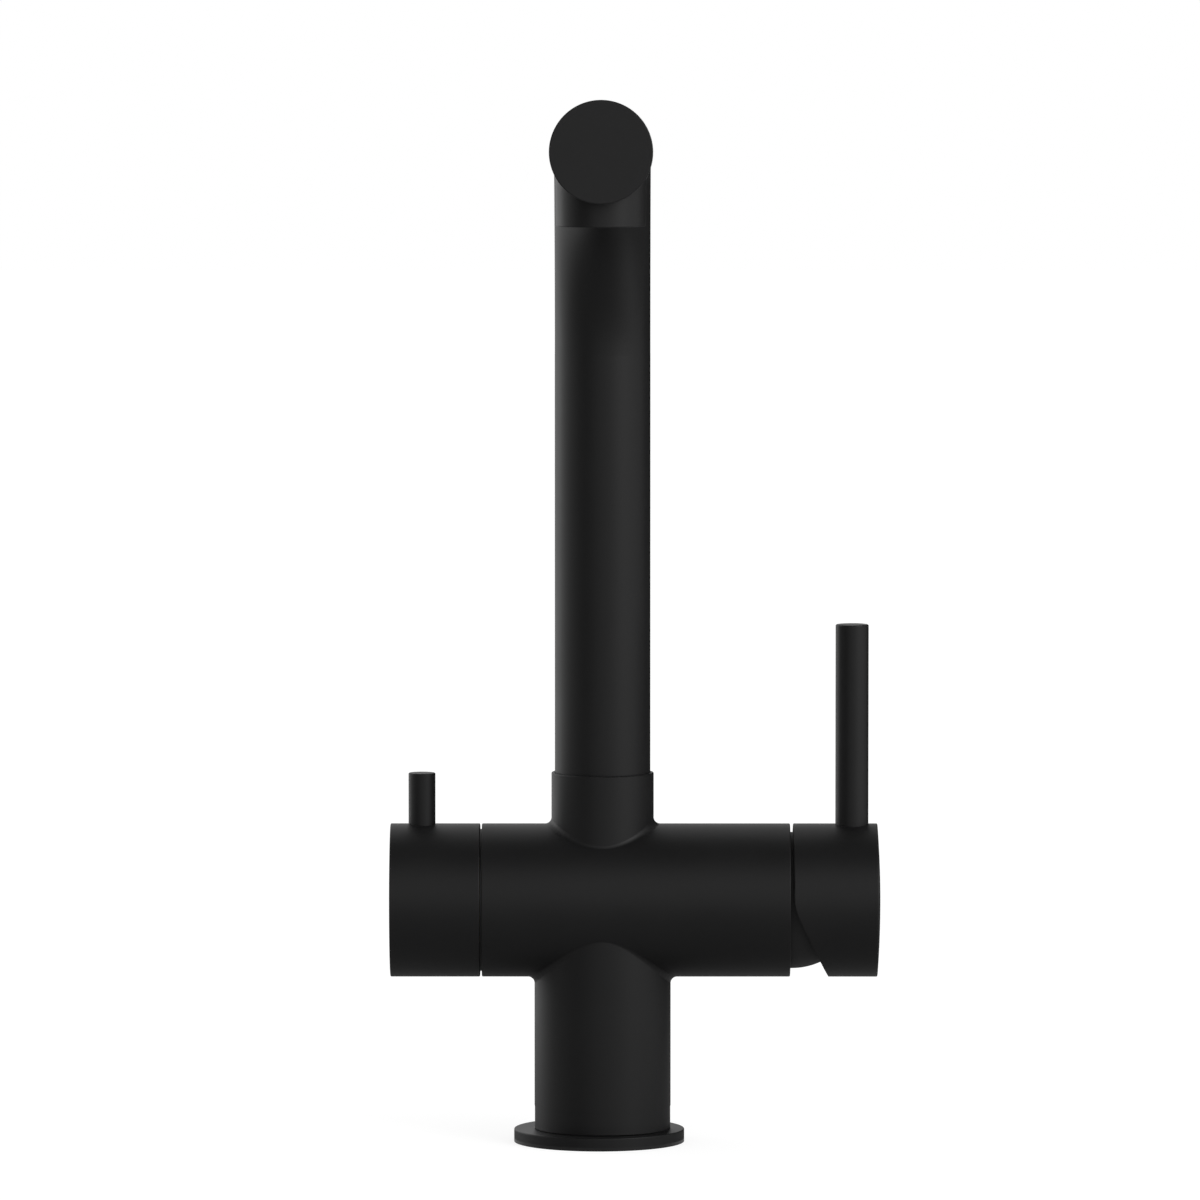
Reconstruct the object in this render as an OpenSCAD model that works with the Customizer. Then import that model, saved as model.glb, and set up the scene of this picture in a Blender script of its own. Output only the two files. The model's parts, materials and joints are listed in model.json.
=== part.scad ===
/* [Base] */
// Diameter of the flange on the worktop
flange_d = 50; // [48:0.5:60]
// Thickness of the flange
flange_h = 3.8; // [3:0.1:5]
// How far the flange sits to the left of the pedestal's axis
flange_shift = 1; // [0:0.1:2]
// Diameter of the foot block where it shows under the pedestal
foot_d = 39.8; // [39:0.1:40]
// Height of the seam between the foot block and the pedestal
seam_h = 10.6; // [10.2:0.1:14]
// Diameter of the foot block where it passes through the flange
foot_spigot_d = 35; // [34:0.5:36]
// Width of the seal ring under the flange
base_seal_w = 2.5; // [1.5:0.1:3]
// Thickness of the seal ring under the flange
base_seal_h = 1.2; // [0.8:0.1:2]

/* [Body] */
// Diameter of the pedestal
pedestal_d = 40; // [39.8:0.1:42]
// Height of the barrel's axis above the worktop
axis_h = 71.2; // [65:0.1:80]
// Diameter of the barrel
barrel_d = 45; // [44:0.5:48]
// Reach of the barrel to the left of the pedestal's axis
barrel_left = 35.4; // [35:0.1:40]
// Reach of the barrel to the right of the pedestal's axis
barrel_right = 55; // [54:0.1:58]
// Width of the rim that the collar leaves round the spout
collar_rim = 1; // [0.8:0.1:2]
// Height of the collar above the barrel's axis
collar_rise = 37.7; // [35:0.1:42]
// Radius of the fillets where pedestal and collar meet the barrel
fillet_r = 2; // [1:0.1:2.5]
// Rounding of the outer edges
edge_r = 0.3; // [0.2:0.05:0.4]

/* [Spout] */
// Diameter of the spout tube
spout_d = 28; // [27:0.5:30]
// Wall of the spout tube
spout_wall = 1.5; // [1:0.1:2]
// Radius of the bend's centre line
bend_r = 60; // [50:1:70]
// Rise of the arm towards its tip, in degrees
arm_rise = 2; // [0:0.5:5]
// Height above the worktop at which the riser's and the arm's axes cross
corner_h = 289.8; // [260:0.1:320]
// Distance from the swivel axis to the arm's flat end
spout_reach = 247.8; // [200:0.2:280]
// Thickness of the end cap
cap_t = 2.5; // [2:0.1:4]
// Diameter of the nozzle
nozzle_d = 24.2; // [24:0.1:26]
// Distance from the arm's flat end back to the nozzle's axis
nozzle_setback = 16.1; // [16:0.1:20]
// How far the nozzle stands out below the arm
nozzle_drop = 5.9; // [4:0.1:12]
// Diameter of the inner tube for filtered water
inner_tube_d = 8; // [6:0.5:9]
// Wall of the inner tube
inner_tube_wall = 0.8; // [0.5:0.1:1]

/* [Mixer] */
// Diameter of the mixer cartridge
cartridge_d = 35; // [35:0.1:35.4]
// Distance from the pedestal's axis to the cartridge seat
seat_x = 20; // [18:0.5:21]
// Length of the mixer knob's straight side
mixer_knob_l = 24.7; // [24:0.1:30]
// Height of the dome on the mixer knob's end
knob_dome = 0.85; // [0.4:0.05:1.5]
// Gap between the barrel and the mixer knob
mixer_gap = 0.95; // [0.8:0.05:1.5]
// How far the mixer knob tilts, in degrees
lift_angle = 25; // [20:1:25]
// Radius of the bend where the knob's inner face turns into its wedge cut
wedge_r = 20; // [10:1:30]
// Diameter of the dome cover
dome_d = 40; // [39.6:0.1:40.2]
// Wall of the dome cover
dome_wall = 1.4; // [1:0.1:1.6]
// Gap between the dome cover and the hollow of the knob
dome_gap = 0.5; // [0.35:0.05:0.6]
// Diameter of the opening at the top of the dome cover
dome_mouth_d = 28; // [27:0.1:28.4]
// Diameter of the lever pin
lever_d = 9.7; // [8:0.1:10]
// How far the lever pin stands out of the knob
lever_rise = 58.7; // [40:0.1:80]
// Distance from the knob's straight end back to the lever pin's axis
lever_setback = 7.5; // [7:0.1:8]

/* [Filter knob] */
// Length of the filter knob
filter_knob_l = 26.3; // [25:0.1:32]
// Gap between the barrel and the filter knob
filter_gap = 0.55; // [0.4:0.05:1]
// Wall of the filter knob's shell
filter_knob_wall = 2.5; // [2:0.1:4]
// Thickness of the filter knob's end
filter_knob_end = 4; // [3:0.5:6]
// Diameter of the glide ring that shows in the gap
glide_ring_d = 41.7; // [40:0.1:43]
// Diameter of the filter knob's pin
filter_pin_d = 7.9; // [6:0.1:9]
// How far the filter knob's pin stands out of the knob
filter_pin_rise = 15; // [10:0.1:30]
// Distance from the filter knob's flat end back to its pin's axis
filter_pin_setback = 9.25; // [9:0.05:12]

/* [Waterways] */
// Diameter of the hose threads in the foot block
hose_thread_d = 9; // [8.5:0.1:9.2]
// Depth of the hose threads
hose_thread_l = 9; // [7:0.5:10]
// Radius of the circle that the hose threads lie on
hose_circle_r = 9; // [8.8:0.1:9.2]
// Diameter of the stud threads in the foot block
stud_thread_d = 5; // [4.2:0.1:5.2]
// Depth of the stud threads
stud_thread_l = 9.5; // [8:0.5:10]
// Radius of the circle that the stud threads lie on
stud_circle_r = 13.5; // [13.3:0.1:13.6]
// Diameter of the waterways that rise from the foot block
water_d = 6; // [5:0.5:6.5]

/* [Fits] */
// Play round a piece that turns or slides in a bore
run_gap = 0.05; // [0.03:0.01:0.08]
// Play round a piece that is screwed, pressed or brazed into a bore
seat_gap = 0.03; // [0.02:0.01:0.05]
// Air between flat faces that slide on each other
slide_gap = 0.02; // [0.02:0.01:0.05]
// Air round moving pieces that don't guide each other
free_gap = 0.3; // [0.3:0.05:0.5]

/* [Hidden] */
$fn = 96;

// Colours
matt_black = [0.09, 0.09, 0.095];
brass = [0.72, 0.58, 0.3];
steel = [0.7, 0.7, 0.72];
rubber = [0.05, 0.05, 0.05];
ceramic = [0.93, 0.92, 0.9];
pale_plastic = [0.85, 0.85, 0.82];
grey_plastic = [0.45, 0.46, 0.48];

// Overshoot of a cut past the face that it opens
cut = 1;
// Width and depth of an O-ring groove
oring_w = 1.6;
oring_t = 1.3;

// Outer radii
pedestal_r = pedestal_d / 2;
foot_r = foot_d / 2;
barrel_r = barrel_d / 2;
spout_r = spout_d / 2;
spout_bore_r = spout_r - spout_wall;
collar_r = spout_r + collar_rim;
collar_h = axis_h + collar_rise;
nozzle_r = nozzle_d / 2;
inner_tube_r = inner_tube_d / 2;

// Foot: the block's upper spigot in the pedestal, its ports, and its screws
foot_neck_l = 5.4;
foot_top_h = seam_h + foot_neck_l;
foot_neck_r = 16;
foot_edge = 0.3;
hose_at = [for (a = [330, 90, 210]) hose_circle_r * [cos(a), sin(a)]];
stud_at = [for (a = [30, 150]) stud_circle_r * [cos(a), sin(a)]];
foot_screw_circle_r = 13.6;
foot_screw_at = [for (a = [0, 180, 270]) foot_screw_circle_r * [cos(a), sin(a)]];
foot_screw_r = 1.5;
foot_screw_play = 0.15;
foot_screw_head_r = 2.75;
foot_screw_head_z = 1;
foot_screw_head_h = 3;
foot_screw_bite = 9;
foot_screw_hex_r = 1.45;
foot_screw_hex_l = 1.6;
water_r = water_d / 2;
port_seal_step = 0.3;
port_seal_r = water_r + port_seal_step;
base_seal_gap = 1.4;
base_seal_r = foot_spigot_d / 2 + flange_shift + base_seal_gap + base_seal_w;

// Collar: how the swivel bush, its glide ring and its lock screw stack up above the barrel's axis
chamber_rise = 12.4;
chamber_h = axis_h + chamber_rise;
bush_foot_gap = 3;
bush_foot_h = chamber_h + bush_foot_gap;
bush_seal_rise = 1;
bush_seal_h = bush_foot_h + bush_seal_rise;
lock_rise = 4.4;
lock_h = bush_foot_h + lock_rise;
journal_l = 6.8;
glide_h = bush_foot_h + journal_l;
glide_t = 1;
bush_flange_h = glide_h + glide_t;
flange_seal_rise = 1.8;
flange_seal_h = bush_flange_h + flange_seal_rise;
bush_flange_t = 5.6;
tube_foot_h = bush_flange_h + bush_flange_t;
bush_spigot_l = 8;
bush_top_h = tube_foot_h + bush_spigot_l;
journal_r = 10.9;
bush_bore_r = 7.5;
lock_groove_r = journal_r - oring_t;
lock_tip_r = 0.9;
lock_tip_play = 0.1;
lock_tip_gap = 0.2;
lock_screw_r = 2;
lock_screw_gap = 0.6;
lock_screw_start = journal_r + lock_screw_gap;
lock_screw_sunk = 0.4;
lock_screw_end = collar_r - lock_screw_sunk;
lock_hex_r = 1.15;
lock_hex_l = 1.4;
bush_flange_step = 0.1;
bush_flange_r = spout_r - bush_flange_step;
collar_play = 0.15;
collar_bore_r = spout_r + collar_play;

// Socket of the inner tube
socket_r = 6;
socket_thread_r = 4;
socket_thread_l = 4.8;
socket_foot_h = chamber_h - socket_thread_l;
socket_foot_gap = 0.5;
socket_floor_t = 3.4;
socket_cup_h = chamber_h + socket_floor_t;
socket_cup_l = 6;
socket_top_h = socket_cup_h + socket_cup_l;
socket_seal_rise = 2.5;
socket_seal_h = socket_cup_h + socket_seal_rise;
socket_bore_r = 2;

// Spout path: riser, bend, arm, and the inner tube's turn down into the nozzle
bend_angle = 90 - arm_rise;
bend_start_h = corner_h - bend_r * tan(bend_angle / 2);
bend_end_y = bend_r * (1 - cos(bend_angle));
arm_l = (spout_reach - bend_end_y) / sin(bend_angle);
nozzle_y = spout_reach - nozzle_setback;
arm_axis_h = corner_h + nozzle_y / tan(bend_angle);
nozzle_h = arm_axis_h - spout_r / sin(bend_angle) - nozzle_drop;
nozzle_l = 14.4;
nozzle_top_h = nozzle_h + nozzle_l;
turn_r = 10;
bend_thinning = 0.01;
lap = 0.02;
cap_spigot_l = 0.9;
inner_arm_l = (nozzle_y - turn_r * (1 + cos(bend_angle)) - bend_end_y) / sin(bend_angle);
turn_end_h = arm_axis_h - turn_r * (1 + cos(bend_angle)) / tan(bend_angle)
    - turn_r * sin(bend_angle);

// Nozzle: aerator shell, insert and centre outlet, as heights above its lower edge
nozzle_wall = 1.65;
aerator_r = nozzle_r - nozzle_wall;
shell_wall = 1.6;
insert_r = aerator_r - shell_wall;
shell_z0 = 0.4;
shell_z1 = 9;
shell_lip_w = 0.6;
shell_lip_t = 0.8;
notch_w = 1.2;
notch_t = 0.7;
seal_t = 1.6;
seal_w = 2.4;
insert_sunk = 1;
insert_top = shell_z1 - insert_sunk;
hole_r = 0.45;
hole_rows = [[18, 1.1], [24, 2.7]];
outlet_wall = 0.6;
outlet_r = inner_tube_r + outlet_wall;
outlet_cup = 5;
outlet_l = 9.2;

// Mixer cartridge along the barrel: seat, base, discs, carrier, rotor and pivot
cart_r = cartridge_d / 2;
base_t = 5;
fixed_disc_t = 3.5;
moving_disc_t = 3;
carrier_t = 6.5;
cart_base_x = seat_x + base_t;
disc_x = cart_base_x + fixed_disc_t + slide_gap;
carrier_x = disc_x + moving_disc_t;
rotor_play = 0.2;
rotor_x = carrier_x + carrier_t + rotor_play;
rotor_flange_t = 2.6;
cover_x = rotor_x + rotor_flange_t + rotor_play;
cover_t = 4;
nut_x = cover_x + cover_t;
nut_t = 5.4;
nut_slot_w = 4;
nut_slot_t = 1.6;
nut_play = 0.55;
dome_foot_gap = 0.1;
dome_foot_x = nut_x + nut_t + dome_foot_gap;
housing_wall = 1.6;
housing_bore_r = cart_r - housing_wall;
fixed_disc_gap = 0.9;
fixed_disc_r = housing_bore_r - fixed_disc_gap;
rotor_gap = 0.5;
rotor_r = housing_bore_r - rotor_gap;
rotor_neck_r = 11.65;
rotor_top = 3.9;
nut_edge = 1;
nut_r = cart_r + nut_edge;
pivot_rise = 0.6;
pivot_x = barrel_right + pivot_rise;
dome_r = dome_d / 2;
dome_mouth_r = dome_mouth_d / 2;
ball_r = 2.5;
ball_x = carrier_x + carrier_t - ball_r;
arm_reach = pivot_x - ball_x;
slide_travel = arm_reach * sin(lift_angle);
ball_play = 0.2;
carrier_half_w = 9;
cheek_gap = 0.3;
guide_gap = 0.2;
peg_r = 1;
peg_l = 1.4;
peg_y = 7.2;
moving_disc_r = 11.3;
disc_pocket_r = 5.6;
disc_pocket_t = 1.4;
inlet_y = 6.2;
inlet_z = 2;
inlet_r = 2.4;
outlet_z = -3.4;
mixed_r = 2.8;
seat_ports = [[-inlet_y, inlet_z, inlet_r], [inlet_y, inlet_z, inlet_r], [0, outlet_z, mixed_r]];
mixed_way_step = 0.2;
mixed_way_r = mixed_r - mixed_way_step;
mixed_way_x = 0.35 * seat_x;
cartridge_gap = 0.2;
seat_seal_gap = 0.2;
seat_seal_w = 1.2;
seat_seal_t = 1.4;
stem_r = 3.5;
stem_arm_r = 2;
stem_hub_r = 4.8;
stem_hub_half = 3.4;
stem_l = 19.4;
stem_flat = 2.6;
pivot_pin_r = 1.5;
pivot_pin_half = 10.5;

// Mixer knob
knob_r = barrel_r;
knob_x = barrel_right + mixer_gap;
knob_end_x = knob_x + mixer_knob_l;
hollow_r = dome_r + dome_gap;
knob_boss_r = 6;
knob_boss_gap = 8.4;
knob_boss_x = pivot_x + knob_boss_gap;
boss_lap = 0.4;
lever_x = knob_end_x - lever_setback;
lever_r = lever_d / 2;
lever_seat = 5;
lever_thread_r = 2.5;
lever_top = knob_r + lever_rise;

// Filter valve along the barrel, measured to the left of the pedestal's axis
recess_t = 2;
valve_seat_x = -barrel_left + recess_t;
valve_thread_r = 9;
valve_thread_l = 7.4;
valve_body_r = 7.4;
valve_l = 20;
valve_end_x = valve_seat_x + valve_l;
valve_seal_t = 1.4;
window_at = 9;
window_l = 4;
window_x0 = valve_seat_x + window_at;
window_x1 = window_x0 + window_l;
window_w = 5;
annulus_r = 11;
annulus_x0 = valve_seat_x + valve_thread_l;
annulus_l = 7;
annulus_x1 = annulus_x0 + annulus_l;
body_groove_gap = 0.5;
body_groove_x = annulus_x1 + body_groove_gap;
body_groove_t = 1;
body_groove_r = valve_body_r - body_groove_t;
lip_seal_r = 4.6;
end_chamber_r = 4.2;
end_chamber_l = 5;
valve_bore_r = 5.6;
valve_disc_t = 3;
bonnet_flange_r = 12.5;
bonnet_flange_t = 4.1;
bonnet_x = valve_seat_x - bonnet_flange_t;
face_seal_gap = 0.5;
face_seal_r0 = valve_thread_r + face_seal_gap;
face_seal_r1 = bonnet_flange_r - face_seal_gap;
face_seal_t = 1;
face_seal_x = valve_seat_x - face_seal_t;
spindle_r = 3.5;
spindle_groove_t = 0.9;
spindle_groove_r = spindle_r - spindle_groove_t;
spindle_seal_at = 2;
spindle_seal_step = 3;
spindle_seal_x = [for (i = [0:1]) bonnet_x + spindle_seal_at + i * spindle_seal_step];
spindle_neck_l = 6;
spindle_flange_x = valve_seat_x + spindle_neck_l;
spindle_flange_t = 2.4;
spindle_flat = 2.4;
tongue_half = 2;
tongue_l = 1;
disc_end = valve_end_x - valve_disc_t - slide_gap;
clip_t = 0.8;
clip_groove_r = 3;
clip_r = 5.5;
clip_x = bonnet_x - free_gap - clip_t;
filter_knob_x = -barrel_left - filter_gap;
filter_end_x = filter_knob_x - filter_knob_l;
filter_hollow_r = knob_r - filter_knob_wall;
filter_hub_r = 7;
filter_hub_gap = 2;
filter_hub_x = clip_x - filter_hub_gap;
spindle_end_gap = 1;
filter_spindle_x = filter_end_x + filter_knob_end + spindle_end_gap;
filter_pin_x = filter_end_x + filter_pin_setback;
filter_pin_r = filter_pin_d / 2;
filter_pin_seat = 9.5;
filter_thread_r = 2;
pin_boss_r = 6;
glide_ring_r = glide_ring_d / 2;
filter_way_r = 1.4;
filter_way_back = 2;
filter_way_x = annulus_x1 - filter_way_back;
filter_way_rise = 2.1;
filter_way_z = valve_body_r + filter_way_rise;

// Turned and bored shapes

// A round bar along Z from z0 to z1
module bar(r, z0, z1)
    translate([0, 0, z0]) cylinder(r = r, h = z1 - z0);

// A ring along Z from z0 to z1
module ring(ro, ri, z0, z1)
    translate([0, 0, z0]) linear_extrude(z1 - z0) difference() {
        circle(ro);
        circle(ri);
    }

// What rounding by e takes off the corner at radius r and height z
module edge_cut(r, z, e, up)
    translate([r - e, z - up * e]) difference() {
        translate([0, up > 0 ? 0 : -2 * e]) square(2 * e);
        circle(e, $fn = 48);
    }

// A round bar along Z with its lower and upper edges rounded by lo and hi
module soft_bar(r, z0, z1, lo = 0, hi = 0)
    rotate_extrude() difference() {
        translate([0, z0]) square([r, z1 - z0]);
        if (lo > 0) edge_cut(r, z0, lo, -1);
        if (hi > 0) edge_cut(r, z1, hi, 1);
    }

// Turns Z to point along the barrel's axis, with X pointing down and Y kept
module on_barrel()
    translate([0, 0, axis_h]) rotate([0, 90, 0]) children();

// A round bar parallel to the barrel's axis, at y and at z above that axis
module side_bar(r, x0, x1, y = 0, z = 0)
    translate([x0, y, axis_h + z]) rotate([0, 90, 0]) cylinder(r = r, h = x1 - x0);

// A bar between two points
module rod_between(r, a, b) {
    d = b - a;
    translate(a) rotate([0, acos(d.z / norm(d)), atan2(d.y, d.x)]) cylinder(r = r, h = norm(d));
}

// Stands its children at the end of a bend that starts upright at the origin
module after_bend(turn, angle)
    translate([0, -turn, 0]) rotate([angle, 0, 0]) translate([0, turn, 0]) children();

// A bent pipe that starts upright at the origin and turns to the front. Bending thins the
// wall by a trace, so the straight pipes at its ends lap over it.
module bent_pipe(turn, angle, ro, ri)
    translate([0, -turn, 0]) rotate([90, 0, 90]) rotate_extrude(angle = angle, $fn = 180)
        translate([turn, 0]) difference() {
            circle(ro - bend_thinning);
            circle(ri + bend_thinning);
        }

// Fillet between the barrel and an upright cylinder of radius a, above the barrel's axis.
// A ball of the fillet's radius rolls round the joint, and each ring of points is the arc
// that it touches, closed by three points inside the metal.
module junction(a) {
    steps = 72;
    arcs = 6;
    trim = 10;
    sunk = 1;
    far = a + fillet_r;
    deep = fillet_r + sunk;
    function centre(t) = [far * cos(t), far * sin(t),
        sqrt(pow(barrel_r + fillet_r, 2) - pow(far * sin(t), 2))];
    function to_tube(t) = [-cos(t), -sin(t), 0];
    function to_barrel(t) = [0, -centre(t).y, -centre(t).z] / (barrel_r + fillet_r);
    function spread(t) = acos(to_tube(t) * to_barrel(t));
    function toward(t, s) = (to_tube(t) * sin(spread(t) - s) + to_barrel(t) * sin(s))
        / sin(spread(t));
    function section(t) = concat(
        [centre(t) + deep * toward(t, trim)],
        [for (i = [0:arcs]) centre(t)
            + fillet_r * toward(t, trim + (spread(t) - 2 * trim) * i / arcs)],
        [centre(t) + deep * toward(t, spread(t) - trim)],
        [centre(t) + deep * (to_tube(t) + to_barrel(t)) / (1 + cos(spread(t)))]);
    n = arcs + 4;
    points = [for (k = [0:steps - 1]) each section(k * 360 / steps)];
    faces = [for (k = [0:steps - 1], i = [0:n - 1])
        let (p = k * n + i, q = k * n + (i + 1) % n,
            r = ((k + 1) % steps) * n + i, s = ((k + 1) % steps) * n + (i + 1) % n)
        each [[p, r, q], [q, r, s]]];
    polyhedron(points = points, faces = faces);
}

// Body and foot

module tap_body() color(matt_black) difference() {
    union() {
        on_barrel() soft_bar(barrel_r, -barrel_left, barrel_right, edge_r, edge_r);
        bar(pedestal_r, seam_h, axis_h);
        soft_bar(collar_r, axis_h, collar_h, 0, edge_r);
        translate([0, 0, axis_h]) junction(collar_r);
        translate([0, 0, axis_h]) mirror([0, 0, 1]) junction(pedestal_r);
    }
    foot_cuts();
    collar_cuts();
    mixer_cuts();
    valve_cuts();
}

// Recess, screw threads and the three rising waterways above the foot block
module foot_cuts() {
    bar(foot_neck_r + seat_gap, seam_h - cut, foot_top_h);
    for (p = foot_screw_at)
        translate(p) bar(foot_screw_r + seat_gap, foot_top_h - cut,
            foot_top_h + foot_screw_bite + cut);
    for (i = [0:1])
        translate(hose_at[i]) bar(water_r, foot_top_h - cut, axis_h + inlet_z);
    translate(hose_at[2]) bar(water_r, foot_top_h - cut, axis_h);
}

// Bores for the swivel bush, the tube socket and the lock screw
module collar_cuts() {
    bar(journal_r + run_gap, chamber_h, glide_h + cut);
    bar(collar_bore_r, glide_h, collar_h + cut);
    bar(socket_thread_r + seat_gap, socket_foot_h, chamber_h + cut);
    translate([0, journal_r, lock_h]) rotate([-90, 0, 0])
        cylinder(r = lock_screw_r + seat_gap, h = collar_r);
    rod_between(filter_way_r, [filter_way_x, 0, axis_h + filter_way_z],
        [0, 0, axis_h + filter_way_z]);
}

// Bore, threads and ports of the mixer cartridge
module mixer_cuts() {
    on_barrel() {
        bar(cart_r + cartridge_gap, seat_x, nut_x + cut);
        bar(nut_r + seat_gap, nut_x, dome_foot_x + cut);
        bar(dome_r + seat_gap, dome_foot_x, barrel_right + cut);
    }
    side_bar(inlet_r, hose_at[0].x, seat_x + cut, -inlet_y, inlet_z);
    side_bar(inlet_r, hose_at[1].x, seat_x + cut, inlet_y, inlet_z);
    rod_between(mixed_way_r, [seat_x + cut, 0, axis_h + outlet_z],
        [mixed_way_x, 0, chamber_h + cut]);
}

// Bore and waterways of the filter valve
module valve_cuts() on_barrel() {
    bar(glide_ring_r + seat_gap, -barrel_left - cut, valve_seat_x);
    bar(valve_thread_r + seat_gap, valve_seat_x - cut, annulus_x0 + cut);
    bar(annulus_r, annulus_x0, annulus_x1);
    bar(valve_body_r + seat_gap, annulus_x1 - cut, valve_end_x + valve_seal_t);
    bar(end_chamber_r, valve_end_x, valve_end_x + valve_seal_t + end_chamber_l);
}

module foot_block() color(matt_black) difference() {
    union() {
        bar(foot_spigot_d / 2, 0, flange_h + cut);
        soft_bar(foot_r, flange_h, seam_h, foot_edge, 0);
        bar(foot_neck_r, seam_h - cut, foot_top_h);
    }
    for (p = hose_at) translate(p) {
        bar(hose_thread_d / 2, -cut, hose_thread_l);
        bar(water_r, 0, foot_top_h + cut);
        ring(port_seal_r + oring_w, port_seal_r, foot_top_h - oring_t, foot_top_h + cut);
    }
    for (p = stud_at) translate(p) bar(stud_thread_d / 2, -cut, stud_thread_l);
    for (p = foot_screw_at) translate(p) {
        bar(foot_screw_r + foot_screw_play, 0, foot_top_h + cut);
        bar(foot_screw_head_r + foot_screw_play, -cut, foot_screw_head_z + foot_screw_head_h);
    }
}

module foot_screws() color(steel)
    for (p = foot_screw_at) translate(p) difference() {
        union() {
            soft_bar(foot_screw_head_r, foot_screw_head_z, foot_screw_head_z + foot_screw_head_h,
                edge_r, 0);
            bar(foot_screw_r, foot_screw_head_h, foot_top_h + foot_screw_bite);
        }
        translate([0, 0, foot_screw_head_z - cut])
            cylinder(r = foot_screw_hex_r, h = cut + foot_screw_hex_l, $fn = 6);
    }

module port_seals() color(rubber)
    for (p = hose_at) translate(p)
        ring(port_seal_r + oring_w - seat_gap, port_seal_r + seat_gap,
            foot_top_h - oring_t, foot_top_h);

module base_flange() color(matt_black) difference() {
    translate([-flange_shift, 0, 0]) soft_bar(flange_d / 2, 0, flange_h, 0, edge_r);
    bar(foot_spigot_d / 2 + seat_gap, -cut, flange_h + cut);
    base_seal_ring(seat_gap, cut);
}

module base_seal() color(rubber) base_seal_ring(0, 0);

// The seal's ring, grown by gap for its groove and run below the flange by over
module base_seal_ring(gap, over)
    translate([-flange_shift, 0, 0])
        ring(base_seal_r + gap, base_seal_r - base_seal_w - gap, -over, base_seal_h);

// Mixer cartridge

module cartridge_base() color(pale_plastic) on_barrel() difference() {
    bar(cart_r, seat_x, cart_base_x);
    for (p = seat_ports) translate([-p.y, p.x, 0]) {
        bar(p.z, seat_x - cut, cart_base_x + cut);
        bar(p.z + seat_seal_gap + seat_seal_w, seat_x - cut, seat_x + seat_seal_t);
    }
}

module cartridge_seals() color(rubber) on_barrel()
    for (p = seat_ports) translate([-p.y, p.x, 0])
        ring(p.z + seat_seal_gap + seat_seal_w - seat_gap, p.z + seat_seal_gap,
            seat_x, seat_x + seat_seal_t);

module cartridge_housing() color(pale_plastic) on_barrel() {
    ring(cart_r, housing_bore_r, cart_base_x, cover_x);
    ring(cart_r, rotor_neck_r + run_gap, cover_x, nut_x);
}

module fixed_disc() color(ceramic) on_barrel() difference() {
    bar(fixed_disc_r, cart_base_x, cart_base_x + fixed_disc_t);
    for (p = seat_ports)
        translate([-p.y, p.x, 0]) bar(p.z, cart_base_x - cut, cart_base_x + fixed_disc_t + cut);
}

module cartridge_nut() color(brass) on_barrel() difference() {
    ring(nut_r, rotor_neck_r + nut_play, nut_x, nut_x + nut_t);
    for (a = [0, 90])
        rotate([0, 0, a]) translate([-nut_r - cut, -nut_slot_w / 2, nut_x + nut_t - nut_slot_t])
            cube([2 * (nut_r + cut), nut_slot_w, nut_slot_t + cut]);
}

module dome_cover() color(matt_black) on_barrel() difference() {
    union() {
        bar(dome_r, dome_foot_x, pivot_x);
        translate([0, 0, pivot_x]) sphere(dome_r);
    }
    translate([0, 0, dome_foot_x - dome_d]) cylinder(r = dome_d, h = dome_d);
    bar(dome_r - dome_wall, dome_foot_x - cut, pivot_x);
    translate([0, 0, pivot_x]) sphere(dome_r - dome_wall);
    bar(dome_mouth_r, pivot_x, pivot_x + dome_d);
}

module cartridge_rotor() color(grey_plastic) difference() {
    on_barrel() {
        bar(rotor_neck_r, rotor_x + rotor_flange_t - cut, pivot_x + rotor_top);
        bar(rotor_r, rotor_x, rotor_x + rotor_flange_t);
        rotor_guides();
    }
    translate([pivot_x, 0, axis_h]) {
        stem_slot();
        rotate([90, 0, 0]) cylinder(r = pivot_pin_r + seat_gap, h = 2 * rotor_r, center = true);
    }
}

// The two cheeks that guide the disc carrier, one on each side of it
module rotor_guides() difference() {
    bar(rotor_r, carrier_x + cheek_gap, rotor_x + cut);
    translate([-rotor_r - cut, -carrier_half_w - guide_gap, carrier_x])
        cube([2 * (rotor_r + cut), 2 * (carrier_half_w + guide_gap), carrier_t + rotor_play]);
}

// The room that the stem sweeps as it tilts, seen from the side and as wide as its hub
module stem_slot() {
    half_w = stem_hub_half + guide_gap;
    inner = ball_r + free_gap;
    outer = stem_r + free_gap;
    back = arm_reach + ball_r;
    front = rotor_top + cut;
    translate([0, half_w, 0]) rotate([90, 0, 0]) linear_extrude(2 * half_w) polygon([
        [-back, -inner], [-back, back * tan(lift_angle) + inner / cos(lift_angle)],
        [0, outer], [front, outer],
        [front, -front * tan(lift_angle) - outer / cos(lift_angle)],
        [0, -outer / cos(lift_angle)]]);
    rotate([90, 0, 0]) cylinder(r = stem_hub_r + free_gap, h = 2 * half_w, center = true);
}

module pivot_pin() color(steel)
    translate([pivot_x, 0, axis_h]) rotate([90, 0, 0])
        cylinder(r = pivot_pin_r, h = 2 * pivot_pin_half, center = true);

module disc_carrier() color(grey_plastic) on_barrel() translate([slide_travel / 2, 0, 0]) {
    difference() {
        intersection() {
            bar(moving_disc_r, carrier_x, carrier_x + carrier_t);
            translate([-moving_disc_r, -carrier_half_w, carrier_x])
                cube([2 * moving_disc_r, 2 * carrier_half_w, carrier_t]);
        }
        ball_pocket();
    }
    for (s = [-1, 1]) translate([0, s * peg_y, 0]) bar(peg_r, carrier_x - peg_l, carrier_x + cut);
}

// The slot in the carrier that the stem's ball end drives
module ball_pocket() {
    half = ball_r + ball_play;
    translate([-slide_travel / 2 - half, -half, carrier_x - cut])
        cube([2 * half, 2 * half, carrier_t + 2 * cut]);
}

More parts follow.
